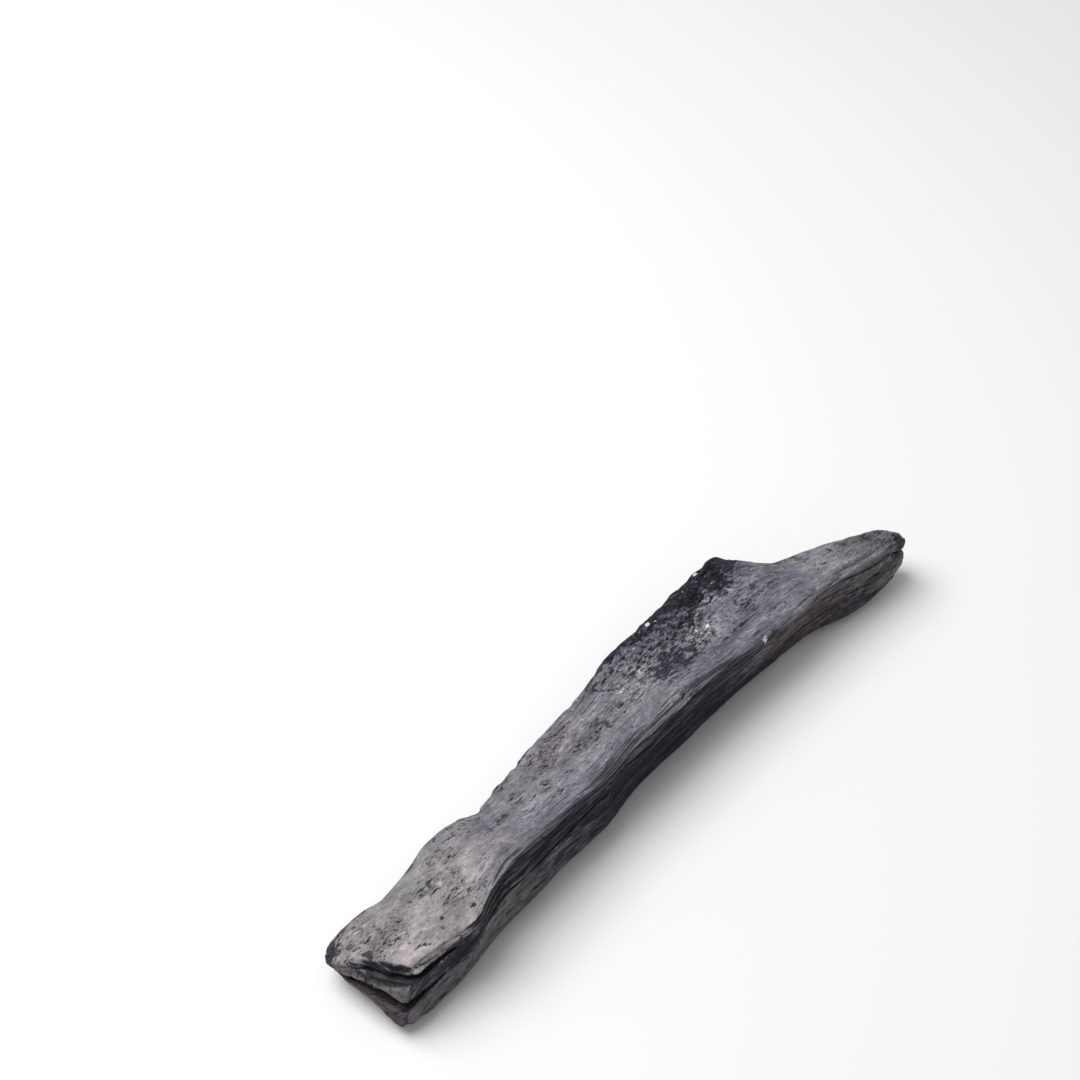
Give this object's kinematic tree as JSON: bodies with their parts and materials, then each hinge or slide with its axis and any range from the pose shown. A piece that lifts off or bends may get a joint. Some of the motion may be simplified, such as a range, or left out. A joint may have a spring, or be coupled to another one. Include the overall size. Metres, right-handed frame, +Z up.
{
  "type": "natural charcoal stick",
  "caption": "Split stick of natural wood charcoal that lies on its side, with a knot on its thin edge, splits in its broken end and a blunt cleft tip.",
  "frame": {"origin": "middle of the bounding box's bottom face, on the ground that the stick lies on", "axes": "+X along the stick from its broken end to its cleft tip, +Y towards the thin edge and the knot, +Z up"},
  "size_m": [0.2958, 0.0568, 0.0322],
  "materials": {
    "charcoal": "dull satin, burnt, with a grey ash film"
  },
  "bodies": {
    "root": {"charcoal_stick": "charcoal"}
  },
  "joints": []
}
